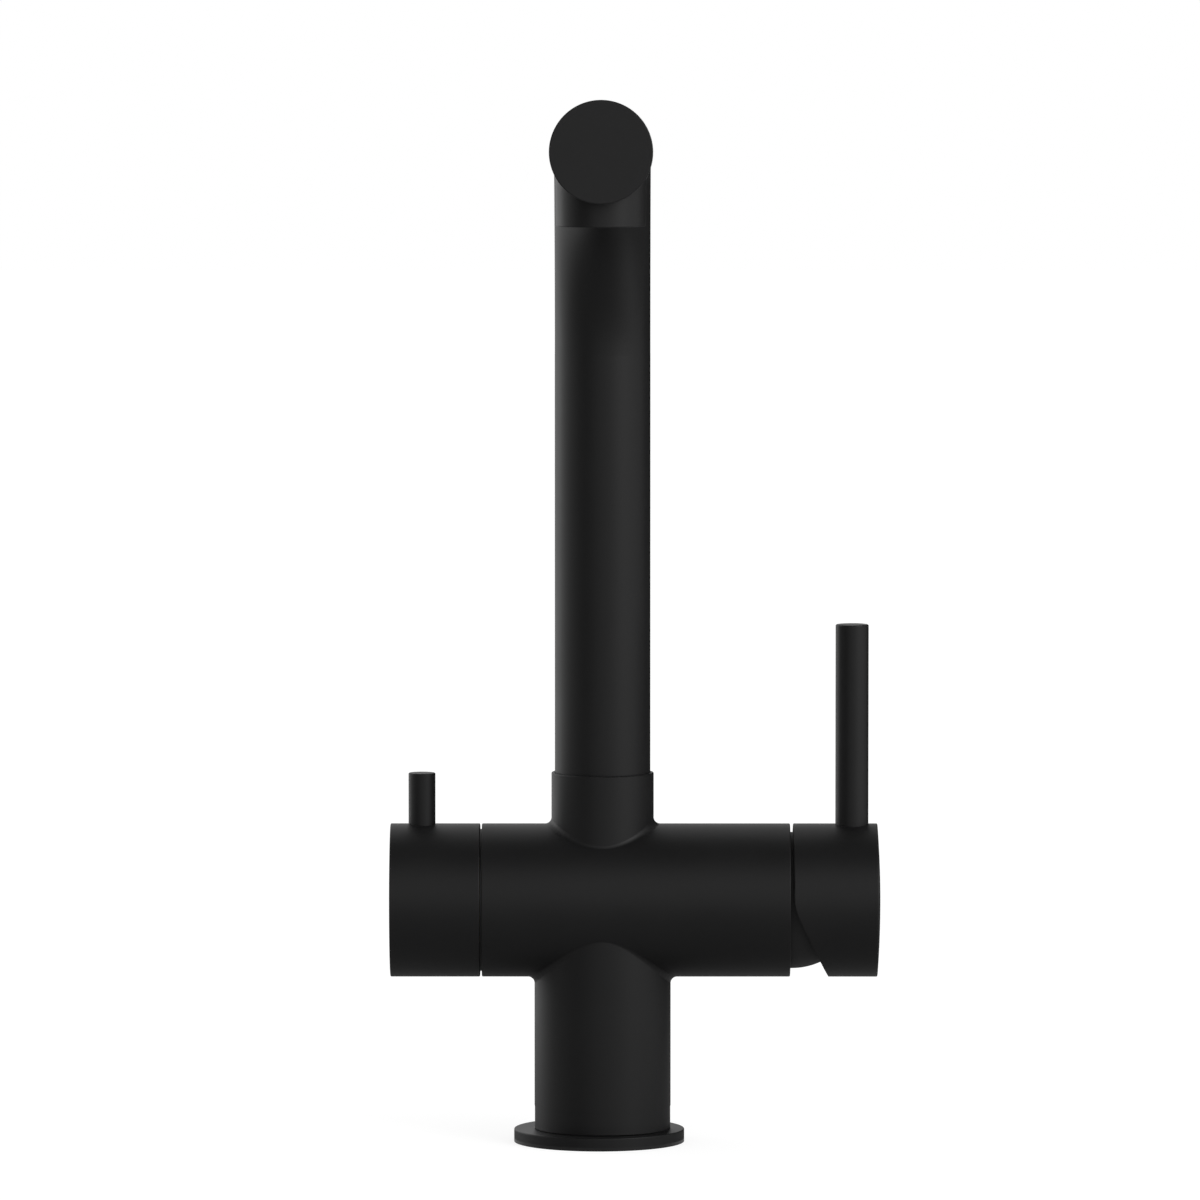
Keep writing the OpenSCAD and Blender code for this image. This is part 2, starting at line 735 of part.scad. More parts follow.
module moving_disc() color(ceramic) on_barrel() translate([slide_travel / 2, 0, 0]) difference() {
    bar(moving_disc_r, disc_x, carrier_x);
    bar(disc_pocket_r, disc_x - cut, disc_x + disc_pocket_t);
    for (s = [-1, 1])
        translate([0, s * peg_y, 0]) bar(peg_r + seat_gap, carrier_x - peg_l, carrier_x + cut);
}

module lever_stem() color(steel) translate([pivot_x, 0, axis_h]) difference() {
    union() {
        rotate([90, 0, 0]) cylinder(r = stem_hub_r, h = 2 * stem_hub_half, center = true);
        rotate([0, 90, 0]) cylinder(r = stem_r, h = stem_l);
        rotate([0, -90, 0]) cylinder(r = stem_arm_r, h = arm_reach);
        translate([-arm_reach, 0, 0]) sphere(ball_r);
    }
    rotate([90, 0, 0]) cylinder(r = pivot_pin_r + run_gap, h = 4 * stem_hub_half, center = true);
    translate([lever_x - pivot_x - 2 * lever_thread_r, -stem_r - cut, stem_flat])
        cube([stem_l, 2 * (stem_r + cut), stem_r]);
}

module mixer_knob() color(matt_black) difference() {
    union() {
        difference() {
            on_barrel() knob_blank();
            translate([pivot_x, 0, axis_h]) sphere(hollow_r);
            wedge_cut();
        }
        side_bar(knob_boss_r, knob_boss_x, pivot_x + hollow_r + boss_lap);
    }
    side_bar(stem_r + seat_gap, knob_boss_x - cut, pivot_x + stem_l + free_gap);
    translate([lever_x, 0, axis_h]) {
        bar(lever_thread_r + seat_gap, 0, knob_r + cut);
        bar(lever_r + seat_gap, knob_r - lever_seat, knob_r + cut);
    }
}

// The knob's turned outside, with its faintly domed end
module knob_blank() {
    base_r = knob_r - edge_r;
    ball = (base_r * base_r + knob_dome * knob_dome) / (2 * knob_dome);
    soft_bar(knob_r, knob_x, knob_end_x, edge_r, edge_r);
    rotate_extrude() intersection() {
        translate([0, knob_end_x + knob_dome - ball]) circle(ball, $fn = 1440);
        translate([0, knob_end_x - cut]) square([base_r, cut + 2 * knob_dome]);
    }
}

// The wedge that lets the knob's lower half swing towards the barrel: it is bounded by the
// knob's inner face above, by a plane at the lift angle below, and by an arc between them
module wedge_cut() {
    run = wedge_r * tan(lift_angle / 2);
    low = -2 * knob_r;
    arc_steps = 12;
    translate([knob_x, knob_r + cut, axis_h]) rotate([90, 0, 0])
        linear_extrude(2 * (knob_r + cut)) polygon(concat(
            [[-cut, run]],
            [for (i = [0:arc_steps]) let (a = lift_angle * i / arc_steps)
                [wedge_r * (1 - cos(a)), run - wedge_r * sin(a)]],
            [[-low * tan(lift_angle), low], [-cut, low]]));
}

module lever_pin() color(matt_black) translate([lever_x, 0, axis_h]) {
    soft_bar(lever_r, knob_r - lever_seat, lever_top, 0, 1.5 * edge_r);
    bar(lever_thread_r, stem_flat + seat_gap, knob_r - lever_seat + cut);
}

// Filter valve and its knob

module valve_bonnet() color(brass) on_barrel() difference() {
    union() {
        bar(bonnet_flange_r, bonnet_x, valve_seat_x);
        bar(valve_thread_r, valve_seat_x - cut, annulus_x0);
        bar(valve_body_r, annulus_x0 - cut, valve_end_x);
    }
    bar(valve_bore_r, spindle_flange_x - slide_gap, valve_end_x + cut);
    bar(spindle_r + run_gap, bonnet_x - cut, spindle_flange_x);
    for (a = [0, 90]) rotate([0, 0, a])
        translate([-valve_body_r - cut, -window_w / 2, window_x0])
            cube([2 * (valve_body_r + cut), window_w, window_x1 - window_x0]);
    ring(valve_body_r + cut, body_groove_r, body_groove_x, body_groove_x + oring_w);
    ring(face_seal_r1, face_seal_r0, face_seal_x, valve_seat_x + cut);
}

module bonnet_seals() color(rubber) on_barrel() {
    ring(valve_body_r, body_groove_r + seat_gap, body_groove_x, body_groove_x + oring_w);
    ring(face_seal_r1 - seat_gap, face_seal_r0 + seat_gap, face_seal_x, valve_seat_x);
}

module valve_lip_seal() color(rubber) on_barrel()
    ring(valve_body_r, lip_seal_r, valve_end_x, valve_end_x + valve_seal_t);

// A ceramic disc with two round openings, opposite each other
module quarter_disc(r, z0, z1) difference() {
    hole_at = 0.55 * r;
    bar(r, z0, z1);
    for (a = [45, 225])
        rotate([0, 0, a]) translate([hole_at, 0, 0]) bar(0.3 * r, z0 - cut, z1 + cut);
}

module valve_fixed_disc() color(ceramic) on_barrel()
    quarter_disc(valve_bore_r - seat_gap, valve_end_x - valve_disc_t, valve_end_x);

module valve_moving_disc() color(ceramic) on_barrel() difference() {
    rotate([0, 0, 90])
        quarter_disc(valve_bore_r - run_gap, disc_end - valve_disc_t, disc_end);
    translate([-valve_bore_r, -tongue_half - seat_gap, disc_end - valve_disc_t - cut])
        cube([2 * valve_bore_r, 2 * (tongue_half + seat_gap), tongue_l + cut]);
}

module valve_spindle() color(brass) on_barrel() difference() {
    union() {
        bar(spindle_r, filter_spindle_x, spindle_flange_x + cut);
        bar(valve_bore_r - run_gap, spindle_flange_x, spindle_flange_x + spindle_flange_t);
        intersection() {
            bar(valve_bore_r - run_gap, spindle_flange_x, disc_end - valve_disc_t + tongue_l);
            translate([-valve_bore_r, -tongue_half, spindle_flange_x])
                cube([2 * valve_bore_r, 2 * tongue_half, valve_end_x - spindle_flange_x]);
        }
    }
    ring(spindle_r + cut, clip_groove_r, clip_x, clip_x + clip_t);
    for (x = spindle_seal_x)
        ring(spindle_r + cut, spindle_groove_r, x, x + oring_w);
    translate([-spindle_r - cut, -spindle_r - cut, filter_spindle_x - cut])
        cube([spindle_r + cut - spindle_flat, 2 * (spindle_r + cut),
            filter_hub_x - filter_spindle_x]);
}

module spindle_seals() color(rubber) on_barrel()
    for (x = spindle_seal_x)
        ring(spindle_r + run_gap - slide_gap, spindle_groove_r + slide_gap, x, x + oring_w);

module spindle_clip() color(steel) on_barrel() difference() {
    ring(clip_r, clip_groove_r + seat_gap, clip_x + slide_gap, clip_x + clip_t - slide_gap);
    translate([-clip_groove_r / 2, 0, clip_x - cut])
        cube([clip_groove_r, clip_r + cut, clip_t + 2 * cut]);
}

module knob_glide_ring() color(matt_black) on_barrel()
    ring(glide_ring_r, bonnet_flange_r + seat_gap, filter_knob_x + run_gap, valve_seat_x);

module filter_knob() color(matt_black) difference() {
    union() {
        on_barrel() difference() {
            soft_bar(knob_r, filter_end_x, filter_knob_x, edge_r, edge_r);
            bar(filter_hollow_r, filter_end_x + filter_knob_end, filter_knob_x + cut);
        }
        side_bar(filter_hub_r, filter_end_x + filter_knob_end - cut, filter_hub_x);
        translate([filter_pin_x, 0, axis_h])
            bar(pin_boss_r, 0, (filter_hollow_r + knob_r) / 2);
    }
    side_bar(spindle_r + seat_gap, filter_spindle_x, filter_hub_x + cut);
    translate([filter_pin_x, 0, axis_h]) {
        bar(filter_thread_r + seat_gap, 0, knob_r);
        bar(filter_pin_r + seat_gap, knob_r - filter_pin_seat, knob_r + cut);
    }
}

module filter_pin() color(matt_black) translate([filter_pin_x, 0, axis_h]) {
    soft_bar(filter_pin_r, knob_r - filter_pin_seat, knob_r + filter_pin_rise, 0, edge_r);
    bar(filter_thread_r, spindle_flat + seat_gap, knob_r - filter_pin_seat + cut);
}

// Swivel joint of the spout

module tube_socket() color(brass) difference() {
    union() {
        bar(socket_thread_r, socket_foot_h + socket_foot_gap, chamber_h + cut);
        bar(socket_r, chamber_h, socket_top_h);
    }
    bar(socket_bore_r, socket_foot_h - cut, socket_cup_h + cut);
    bar(inner_tube_r + run_gap, socket_cup_h, socket_top_h + cut);
    ring(inner_tube_r + oring_t, inner_tube_r, socket_seal_h, socket_seal_h + oring_w);
}

module socket_seal() color(rubber)
    ring(inner_tube_r + oring_t - slide_gap, inner_tube_r + slide_gap,
        socket_seal_h, socket_seal_h + oring_w);

module swivel_bush() color(brass) difference() {
    union() {
        bar(journal_r, bush_foot_h, bush_flange_h + cut);
        bar(bush_flange_r, bush_flange_h, tube_foot_h);
        bar(spout_bore_r - seat_gap, tube_foot_h - cut, bush_top_h);
    }
    bar(bush_bore_r, bush_foot_h - cut, bush_top_h + cut);
    ring(journal_r + cut, journal_r - oring_t, bush_seal_h, bush_seal_h + oring_w);
    ring(journal_r + cut, lock_groove_r, lock_h - lock_tip_r - lock_tip_play,
        lock_h + lock_tip_r + lock_tip_play);
    ring(spout_r + cut, spout_r - oring_t, flange_seal_h, flange_seal_h + oring_w);
}

module spout_seals() color(rubber) {
    ring(journal_r + run_gap - slide_gap, journal_r - oring_t + slide_gap,
        bush_seal_h, bush_seal_h + oring_w);
    ring(collar_bore_r - slide_gap, spout_r - oring_t + slide_gap,
        flange_seal_h, flange_seal_h + oring_w);
}

module spout_glide_ring() color(pale_plastic)
    ring(bush_flange_r, journal_r + 2 * run_gap, glide_h, bush_flange_h - slide_gap);

module spout_lock_screw() color(steel) translate([0, 0, lock_h]) rotate([-90, 0, 0])
    difference() {
        union() {
            bar(lock_screw_r, lock_screw_start, lock_screw_end);
            bar(lock_tip_r, lock_groove_r + lock_tip_gap, lock_screw_start + cut);
        }
        translate([0, 0, lock_screw_end - lock_hex_l])
            cylinder(r = lock_hex_r, h = lock_hex_l + cut, $fn = 6);
    }

// Spout

module spout_tube() color(matt_black) difference() {
    translate([0, 0, bend_start_h]) {
        ring(spout_r, spout_bore_r, tube_foot_h - bend_start_h, lap);
        bent_pipe(bend_r, bend_angle, spout_r, spout_bore_r);
        after_bend(bend_r, bend_angle) ring(spout_r, spout_bore_r, -lap, arm_l - cap_t);
    }
    translate([0, -nozzle_y, 0]) bar(nozzle_r + seat_gap, nozzle_h - cut, nozzle_top_h);
}

module spout_end_cap() color(matt_black) translate([0, 0, bend_start_h])
    after_bend(bend_r, bend_angle) {
        soft_bar(spout_r, arm_l - cap_t, arm_l, 0, edge_r);
        bar(spout_bore_r - seat_gap, arm_l - cap_t - cap_spigot_l, arm_l - cap_t / 2);
    }

module inner_tube() color(steel) {
    bore_r = inner_tube_r - inner_tube_wall;
    translate([0, 0, bend_start_h]) {
        ring(inner_tube_r, bore_r, socket_cup_h + free_gap - bend_start_h, lap);
        bent_pipe(bend_r, bend_angle, inner_tube_r, bore_r);
        after_bend(bend_r, bend_angle) {
            ring(inner_tube_r, bore_r, -lap, inner_arm_l + lap);
            translate([0, 0, inner_arm_l]) {
                bent_pipe(turn_r, 180 - bend_angle, inner_tube_r, bore_r);
                after_bend(turn_r, 180 - bend_angle)
                    ring(inner_tube_r, bore_r, -lap, turn_end_h - nozzle_h - outlet_cup - free_gap);
            }
        }
    }
}

// Moves its children to the nozzle's axis, with Z up from the nozzle's lower edge
module in_nozzle() translate([0, -nozzle_y, nozzle_h]) children();

module nozzle_housing() color(matt_black) in_nozzle() difference() {
    soft_bar(nozzle_r, 0, nozzle_l, edge_r, 0);
    bar(aerator_r + seat_gap, -cut, shell_z1 + seal_t);
    bar(insert_r, 0, nozzle_l + cut);
}

module aerator_shell() color(matt_black) in_nozzle() difference() {
    soft_bar(aerator_r, shell_z0, shell_z1, edge_r, 0);
    bar(insert_r - shell_lip_w, -cut, shell_z0 + cut);
    bar(insert_r + seat_gap, shell_z0 + shell_lip_t, shell_z1 + cut);
    for (a = [0:30:330])
        rotate([0, 0, a]) translate([aerator_r - notch_t, -notch_w / 2, shell_z0 - cut])
            cube([notch_t + cut, notch_w, notch_w + cut]);
}

module aerator_insert() color(grey_plastic) in_nozzle() difference() {
    bar(insert_r, shell_z0 + shell_lip_t, insert_top);
    bar(outlet_r + seat_gap, 0, shell_z1 + cut);
    for (row = hole_rows, k = [1:row[0]])
        rotate([0, 0, k * 360 / row[0]])
            translate([outlet_r + row[1], 0, 0]) bar(hole_r, 0, shell_z1 + cut);
}

module aerator_seal() color(rubber) in_nozzle()
    ring(aerator_r, aerator_r - seal_w, shell_z1, shell_z1 + seal_t);

module centre_outlet() color(grey_plastic) in_nozzle() difference() {
    soft_bar(outlet_r, shell_z0, outlet_l, edge_r, 0);
    bar(inner_tube_r - inner_tube_wall, -cut, outlet_l);
    bar(inner_tube_r + seat_gap, outlet_cup, outlet_l + cut);
}

tap_body();
foot_block();
foot_screws();
port_seals();
base_flange();
base_seal();
cartridge_base();
cartridge_seals();
cartridge_housing();
fixed_disc();
cartridge_nut();
dome_cover();
valve_bonnet();
bonnet_seals();
valve_lip_seal();
valve_fixed_disc();
knob_glide_ring();
tube_socket();
socket_seal();
spout_glide_ring();
spout_lock_screw();
spout_tube();
spout_end_cap();
swivel_bush();
spout_seals();
inner_tube();
nozzle_housing();
aerator_shell();
aerator_insert();
aerator_seal();
centre_outlet();
cartridge_rotor();
pivot_pin();
disc_carrier();
moving_disc();
lever_stem();
mixer_knob();
lever_pin();
filter_knob();
filter_pin();
valve_spindle();
valve_moving_disc();
spindle_clip();
spindle_seals();
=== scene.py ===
import json
import math

import bpy
from mathutils import Euler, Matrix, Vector


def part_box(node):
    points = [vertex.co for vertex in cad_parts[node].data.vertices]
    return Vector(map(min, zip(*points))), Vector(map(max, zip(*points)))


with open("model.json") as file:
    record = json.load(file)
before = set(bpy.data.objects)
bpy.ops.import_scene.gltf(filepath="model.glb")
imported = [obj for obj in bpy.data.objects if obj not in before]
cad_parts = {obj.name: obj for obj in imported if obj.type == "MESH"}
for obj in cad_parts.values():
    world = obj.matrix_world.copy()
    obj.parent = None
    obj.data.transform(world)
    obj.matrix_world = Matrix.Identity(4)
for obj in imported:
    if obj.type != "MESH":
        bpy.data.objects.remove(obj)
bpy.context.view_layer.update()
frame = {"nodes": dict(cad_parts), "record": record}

MM = 0.001
nodes = frame["nodes"]
record = frame["record"]
scene = bpy.context.scene


# Places taken from the frame

knob_low, knob_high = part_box("mixer_knob")
BARREL_AXIS = Vector((0, 0, (knob_low.z + knob_high.z) / 2))
SWIVEL_AXIS = (0, 0, 0)


# Node trees

def add(tree, kind, values=(), **settings):
    """A shader node of that kind, with its settings and the plain values of its inputs."""
    node = tree.nodes.new("ShaderNode" + kind)
    for key, value in settings.items():
        setattr(node, key, value)
    for key, value in dict(values).items():
        node.inputs[key].default_value = value
    return node


def link(tree, source, output, target, socket):
    tree.links.new(source.outputs[output], target.inputs[socket])


def new_group(name, inputs, outputs):
    """An empty shader group with named sockets, given as name: socket type."""
    group = bpy.data.node_groups.new(name, "ShaderNodeTree")
    for socket, kind in inputs.items():
        group.interface.new_socket(socket, in_out="INPUT", socket_type="NodeSocket" + kind)
    for socket, kind in outputs.items():
        group.interface.new_socket(socket, in_out="OUTPUT", socket_type="NodeSocket" + kind)
    return group, group.nodes.new("NodeGroupInput"), group.nodes.new("NodeGroupOutput")


def coat_grain():
    """The fine pimples of a powder coat, a mould's texture or a lapped face, with a slow
    unevenness under them. Grain and Cloud run from 0 to 1."""
    group, given, out = new_group(
        "coat grain", {"Vector": "Vector", "Grains per metre": "Float"},
        {"Grain": "Float", "Cloud": "Float"})
    grain = add(group, "TexNoise", {"Detail": 2.0, "Roughness": 0.55})
    link(group, given, "Vector", grain, "Vector")
    link(group, given, "Grains per metre", grain, "Scale")
    cloud = add(group, "TexNoise", {"Scale": 55.0, "Detail": 4.0, "Roughness": 0.5})
    link(group, given, "Vector", cloud, "Vector")
    spread = add(group, "MapRange", {"From Min": 0.3, "From Max": 0.7})
    link(group, cloud, "Fac", spread, "Value")
    link(group, grain, "Fac", out, "Grain")
    link(group, spread, "Result", out, "Cloud")
    return group


def turning_marks():
    """Fine rings left by a lathe round the Z axis of the vector: they run round a side and
    in circles on an end face. Ring runs from 0 to 1."""
    group, given, out = new_group(
        "turning marks", {"Vector": "Vector", "Rings per metre": "Float"}, {"Ring": "Float"})
    parts = add(group, "SeparateXYZ")
    link(group, given, "Vector", parts, "Vector")
    flat = add(group, "CombineXYZ")
    link(group, parts, "X", flat, "X")
    link(group, parts, "Y", flat, "Y")
    radius = add(group, "VectorMath", operation="LENGTH")
    link(group, flat, "Vector", radius, 0)
    travel = add(group, "Math", operation="ADD")
    link(group, radius, "Value", travel, 0)
    link(group, parts, "Z", travel, 1)
    ring = add(group, "TexNoise", {"Detail": 3.0, "Roughness": 0.7}, noise_dimensions="1D")
    link(group, travel, "Value", ring, "W")
    link(group, given, "Rings per metre", ring, "Scale")
    link(group, ring, "Fac", out, "Ring")
    return group


GRAIN = coat_grain()
RINGS = turning_marks()


# Materials

def new_material(name, plain):
    """A material with a Principled shader, whose plain values are set on its own sockets."""
    material = bpy.data.materials.new(name)
    material.use_nodes = True
    tree = material.node_tree
    shader = tree.nodes["Principled BSDF"]
    for key, value in plain.items():
        shader.inputs[key].default_value = value
    return material, tree, shader


def drift(tree, shader, source, output, dark, light, rough):
    """Lets colour and roughness run between two values as a mask of a group runs from 0 to 1."""
    colour = add(tree, "ValToRGB")
    colour.color_ramp.elements[0].color = (*dark, 1)
    colour.color_ramp.elements[1].color = (*light, 1)
    link(tree, source, output, colour, "Fac")
    link(tree, colour, "Color", shader, "Base Color")
    gloss = add(tree, "MapRange", {"To Min": rough[0], "To Max": rough[1]})
    link(tree, source, output, gloss, "Value")
    link(tree, gloss, "Result", shader, "Roughness")


def stand_up(tree, shader, source, output, height):
    """Raises the surface by height, in metres, where a mask of a group is 1."""
    bump = add(tree, "Bump", {"Distance": height})
    link(tree, source, output, bump, "Height")
    link(tree, bump, "Normal", shader, "Normal")


def grained(name, dark, light, rough, grains, height, **plain):
    """A coated, moulded or lapped finish."""
    material, tree, shader = new_material(name, plain)
    place = add(tree, "TexCoord")
    grain = add(tree, "Group", node_tree=GRAIN)
    grain.inputs["Grains per metre"].default_value = grains
    link(tree, place, "Object", grain, "Vector")
    drift(tree, shader, grain, "Cloud", dark, light, rough)
    stand_up(tree, shader, grain, "Grain", height)
    return material


def turned(name, dark, light, rough, rings, height, centre, turn, **plain):
    """A finish from the lathe. centre is a point on the piece's axis and turn brings that
    axis to Z."""
    material, tree, shader = new_material(name, plain)
    place = add(tree, "TexCoord")
    to_centre = add(tree, "VectorMath", operation="SUBTRACT")
    to_centre.inputs[1].default_value = centre
    link(tree, place, "Object", to_centre, 0)
    upright = add(tree, "Mapping", {"Rotation": turn})
    link(tree, to_centre, "Vector", upright, "Vector")
    ring = add(tree, "Group", node_tree=RINGS)
    ring.inputs["Rings per metre"].default_value = rings
    link(tree, upright, "Vector", ring, "Vector")
    drift(tree, shader, ring, "Ring", dark, light, rough)
    stand_up(tree, shader, ring, "Ring", height)
    return material


ALONG_X = (0, math.pi / 2, 0)
UPRIGHT = (0, 0, 0)


def black_paint():
    return grained("matt black paint", dark=(0.0060, 0.0060, 0.0062),
                   light=(0.0070, 0.0070, 0.0072), rough=(0.475, 0.505), grains=5200,
                   height=0.004 * MM, **{"Specular IOR Level": 0.25})


# Lighter than the body's black paint: painted fill light that lifts the shade on the dome under the
# knob.
def dome_paint_with_painted_fill():
    return grained("black paint of the dome with painted fill light", dark=(0.022, 0.022, 0.0223),
                   light=(0.025, 0.025, 0.0253), rough=(0.5, 0.56), grains=5200,
                   height=0.003 * MM, **{"Specular IOR Level": 0.12})


# Lighter than the black paint: painted fill light, set to lift the shade in the gap between barrel
# and knob. It applies to every part in this plastic.
def black_plastic():
    return grained("matt black plastic with painted fill light", dark=(0.021, 0.021, 0.0213),
                   light=(0.025, 0.025, 0.0253), rough=(0.45, 0.55), grains=3800,
                   height=0.006 * MM)


def steel():
    return turned("bright steel", dark=(0.50, 0.50, 0.52), light=(0.66, 0.66, 0.67),
                  rough=(0.22, 0.38), rings=9000, height=0.002 * MM, centre=SWIVEL_AXIS,
                  turn=UPRIGHT, Metallic=1.0)


def turned_brass(name, centre, turn):
    return turned(name, dark=(0.60, 0.44, 0.20), light=(0.76, 0.60, 0.32),
                  rough=(0.22, 0.36), rings=7000, height=0.003 * MM, centre=centre,
                  turn=turn, Metallic=1.0)


def brass_on_barrel():
    return turned_brass("turned brass on the barrel", BARREL_AXIS, ALONG_X)


def brass_upright():
    return turned_brass("turned brass on the swivel", SWIVEL_AXIS, UPRIGHT)


def rubber():
    return grained("moulded rubber", dark=(0.014, 0.014, 0.014), light=(0.030, 0.030, 0.030),
                   rough=(0.65, 0.8), grains=2600, height=0.01 * MM)


def ceramic():
    return grained("lapped ceramic", dark=(0.80, 0.79, 0.76), light=(0.88, 0.87, 0.84),
                   rough=(0.18, 0.3), grains=9000, height=0.001 * MM)


def pale_plastic():
    return grained("pale moulded plastic", dark=(0.72, 0.72, 0.68), light=(0.80, 0.80, 0.76),
                   rough=(0.4, 0.52), grains=3000, height=0.004 * MM)


def grey_plastic():
    return grained("grey moulded plastic", dark=(0.30, 0.31, 0.33), light=(0.37, 0.38, 0.40),
                   rough=(0.42, 0.55), grains=3000, height=0.004 * MM)


def dress_nodes():
    """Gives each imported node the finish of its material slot."""
    finish = {"black_paint": black_paint(), "black_plastic": black_plastic(), "steel": steel(),
              "brass": brass_on_barrel(), "rubber": rubber(), "ceramic": ceramic(),
              "pale_plastic": pale_plastic(), "grey_plastic": grey_plastic()}
    upright = brass_upright()
    for part in record["subparts"]:
        mesh = nodes[part["node"]].data
        mesh.materials.clear()
        mesh.materials.append(finish[part["material_slot"]])
    for name in ("tube_socket", "swivel_bush"):
        nodes[name].data.materials[0] = upright
    # The dome gets the lighter black, which is painted fill light on its shade under the knob.
    nodes["dome_cover"].data.materials[0] = dome_paint_with_painted_fill()


dress_nodes()


# Studio

# Half the side of the floor, and how far it lies under the foot, in metres
FLOOR_HALF = 6.0
FLOOR_DROP = 0.02 * MM
# Strength of the fill from the surroundings, and the grey that the floor bounces it from
FILL = 0.70
BOUNCE = 0.5
# What the eye and gloss see of the floor: a grey that takes the shadow, and a glow over it
SEEN_SHADE = 0.30
SEEN_GLOW = 0.80
# The point that lamps and standing cards face
MIDDLE = Vector((0, 0, 0.13))
# Distance of the standing cards from it, their height and their grey
CARD_AWAY = 1.5
CARD_HEIGHT = 2.4
CARD_GREY = 0.02
# Height of the floor cards above the floor
CARD_LIFT = 0.001


def seen_directly(tree):
    """1 for rays from the camera, from gloss and through glass, and 0 for rays that only
    carry light."""
    path = add(tree, "LightPath")
    gloss = add(tree, "Math", operation="MAXIMUM")
    link(tree, path, "Is Camera Ray", gloss, 0)
    link(tree, path, "Is Glossy Ray", gloss, 1)
    clear = add(tree, "Math", operation="MAXIMUM")
    link(tree, gloss, "Value", clear, 0)
    link(tree, path, "Is Transmission Ray", clear, 1)
    return clear


def white_surroundings():
    """White all round where it is seen, and a plain dim fill where it only lights."""
    world = bpy.data.worlds.new("studio")
    world.use_nodes = True
    tree = world.node_tree
    white = tree.nodes["Background"]
    white.inputs["Color"].default_value = (1, 1, 1, 1)
    fill = add(tree, "Background", {"Color": (FILL, FILL, FILL, 1)})
    either = add(tree, "MixShader")
    link(tree, seen_directly(tree), "Value", either, "Fac")
    link(tree, fill, "Background", either, 1)
    link(tree, white, "Background", either, 2)
    link(tree, either, "Shader", tree.nodes["World Output"], "Surface")
    scene.world = world


def pale_floor():
    """A floor that looks white and keeps a soft shadow. Its paler look is for the eye and for
    gloss, and the light that it sends up comes from a plain matt grey. It lies a hair under
    the tap's foot, and from below it is clear, so that the underside shows."""
    mesh = bpy.data.meshes.new("floor")
    corners = [(x * FLOOR_HALF, y * FLOOR_HALF, -FLOOR_DROP) for x, y in
               ((-1, -1), (1, -1), (1, 1), (-1, 1))]
    mesh.from_pydata(corners, [], [(0, 1, 2, 3)])
    floor = bpy.data.objects.new("floor", mesh)
    scene.collection.objects.link(floor)
    material = bpy.data.materials.new("pale floor")
    material.use_nodes = True
    tree = material.node_tree
    tree.nodes.remove(tree.nodes["Principled BSDF"])
    bounce = add(tree, "BsdfDiffuse", {"Color": (BOUNCE, BOUNCE, BOUNCE, 1)})
    shade = add(tree, "BsdfDiffuse", {"Color": (SEEN_SHADE, SEEN_SHADE, SEEN_SHADE, 1)})
    glow = add(tree, "Emission", {"Color": (1, 1, 1, 1), "Strength": SEEN_GLOW})
    seen = add(tree, "AddShader")
    link(tree, shade, "BSDF", seen, 0)
    link(tree, glow, "Emission", seen, 1)
    either = add(tree, "MixShader")
    link(tree, seen_directly(tree), "Value", either, "Fac")
    link(tree, bounce, "BSDF", either, 1)
    link(tree, seen, "Shader", either, 2)
    face = add(tree, "NewGeometry")
    clear = add(tree, "BsdfTransparent")
    top_only = add(tree, "MixShader")
    link(tree, face, "Backfacing", top_only, "Fac")
    link(tree, either, "Shader", top_only, 1)
    link(tree, clear, "BSDF", top_only, 2)
    link(tree, top_only, "Shader", tree.nodes["Material Output"], "Surface")
    mesh.materials.append(material)


def around(azimuth, elevation, distance, target):
    """A point seen from target at that azimuth, 0 at the camera's side and 90 to the right."""
    a, e = math.radians(azimuth), math.radians(elevation)
    return target + distance * Vector((math.sin(a) * math.cos(e), -math.cos(a) * math.cos(e),
                                       math.sin(e)))


def facing(thing, target):
    thing.rotation_mode = "QUATERNION"
    thing.rotation_quaternion = (target - thing.location).to_track_quat("-Z", "Y")


def softbox(name, azimuth, elevation, distance, width, height, watts):
    lamp = bpy.data.lights.new(name, "AREA")
    lamp.shape = "RECTANGLE"
    lamp.size, lamp.size_y, lamp.energy = width, height, watts
    box = bpy.data.objects.new(name, lamp)
    scene.collection.objects.link(box)
    box.location = around(azimuth, elevation, distance, MIDDLE)
    facing(box, MIDDLE)
    box.visible_camera = False


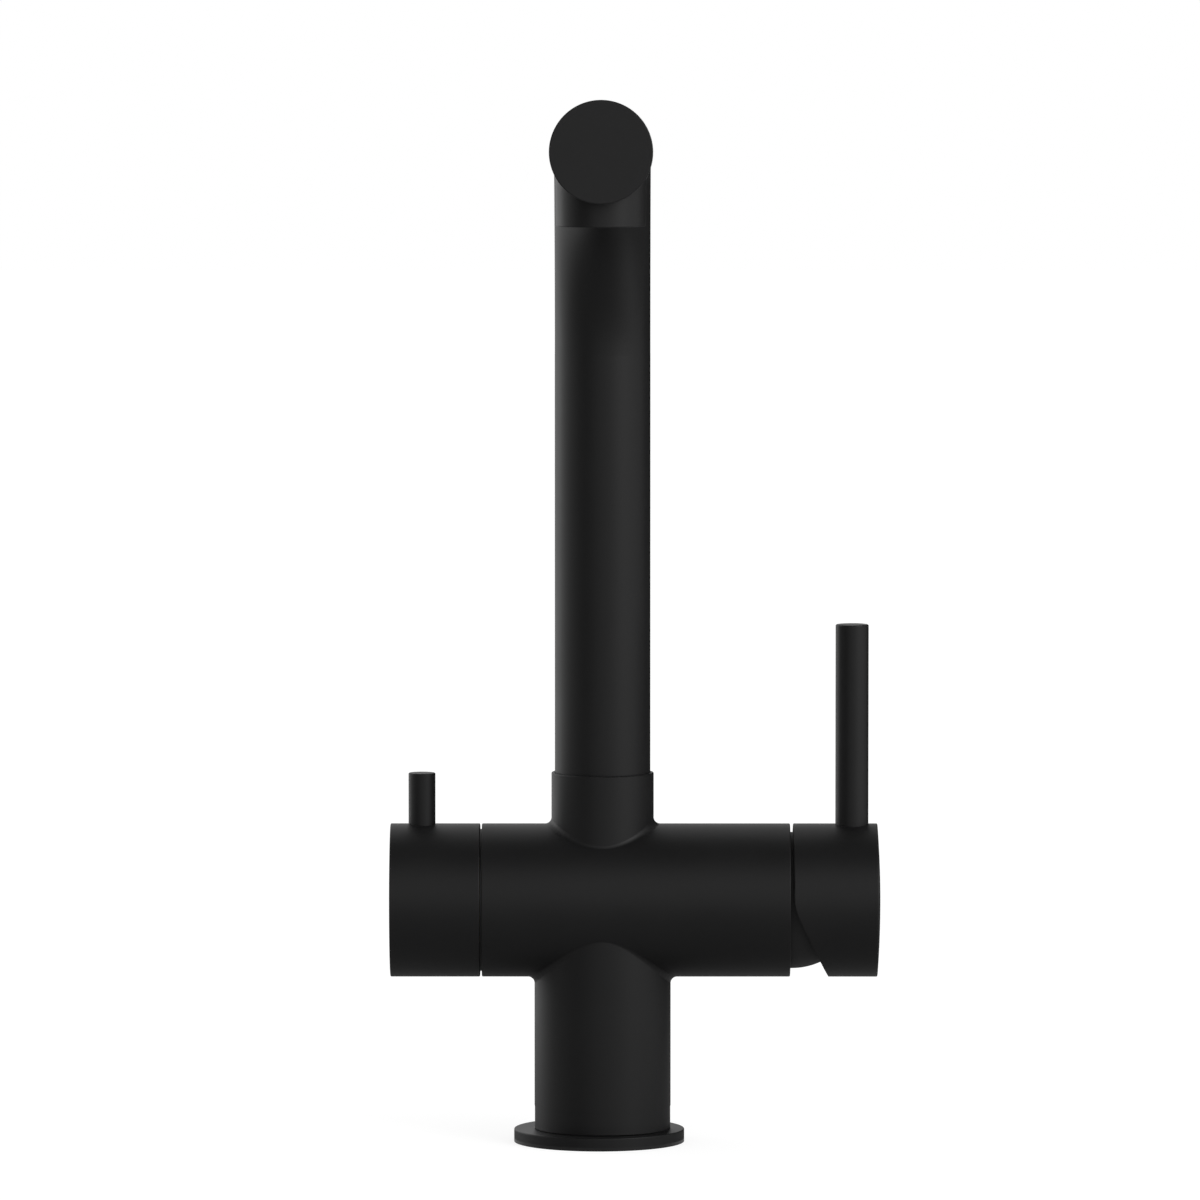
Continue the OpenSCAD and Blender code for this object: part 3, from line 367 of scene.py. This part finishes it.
def dark_card(name, place, target, width, height, grey):
    """A dark card that keeps white out of the black paint's reflections. Nothing but gloss
    sees it."""
    mesh = bpy.data.meshes.new(name)
    mesh.from_pydata([(x * width / 2, y * height / 2, 0) for x, y in
                      ((-1, -1), (1, -1), (1, 1), (-1, 1))], [], [(0, 1, 2, 3)])
    card = bpy.data.objects.new(name, mesh)
    scene.collection.objects.link(card)
    card.location = place
    facing(card, target)
    card.visible_camera = False
    card.visible_diffuse = False
    card.visible_shadow = False
    material, tree, shader = new_material(name, {"Base Color": (grey, grey, grey, 1),
                                                 "Roughness": 1.0, "Specular IOR Level": 0.0})
    mesh.materials.append(material)


def standing_card(name, azimuth, elevation, width, height):
    dark_card(name, around(azimuth, elevation, CARD_AWAY, MIDDLE), MIDDLE, width, height, CARD_GREY)


def floor_card(name, left, right, front, back, grey):
    """A card that lies on the floor between these places, in metres from the swivel axis."""
    place = Vector(((left + right) / 2, (front + back) / 2, CARD_LIFT))
    dark_card(name, place, place + Vector((0, 0, 1)), right - left, back - front, grey)


white_surroundings()
pale_floor()
softbox("softbox right", azimuth=50, elevation=25, distance=2.2, width=1.0, height=1.4, watts=20)
softbox("softbox behind left", azimuth=-125, elevation=10, distance=1.8, width=0.6, height=1.4,
        watts=6)
standing_card("card front left", azimuth=-42, elevation=10, width=1.1, height=CARD_HEIGHT)
standing_card("card back right", azimuth=141, elevation=10, width=1.8, height=CARD_HEIGHT)
standing_card("card above", azimuth=0, elevation=82, width=2.4, height=1.8)
floor_card("card on the floor", left=-1.0, right=0.2, front=-0.25, back=0.08, grey=0.40)
floor_card("card on the floor in front", left=-1.0, right=1.4, front=-1.2, back=-0.25, grey=0.30)
floor_card("card on the floor behind", left=-0.15, right=0.15, front=0.08, back=2.0, grey=0.40)
floor_card("card on the floor behind right", left=0.15, right=1.35, front=0.08, back=2.0, grey=0.10)


# Camera

CAMERA_AT = Vector((5.19, -3015.0, 384.8)) * MM
CAMERA_DOWN = math.radians(4.273)
CAMERA_LEFT = math.radians(0.113)
LENS = 309.5
SENSOR = 36

camera = bpy.data.objects.new("camera", bpy.data.cameras.new("camera"))
scene.collection.objects.link(camera)
camera.location = CAMERA_AT
camera.rotation_euler = Euler((math.pi / 2 - CAMERA_DOWN, 0, CAMERA_LEFT))
camera.data.sensor_width = SENSOR
camera.data.lens = LENS
camera.data.clip_end = 50
scene.camera = camera
scene.view_settings.view_transform = "Standard"
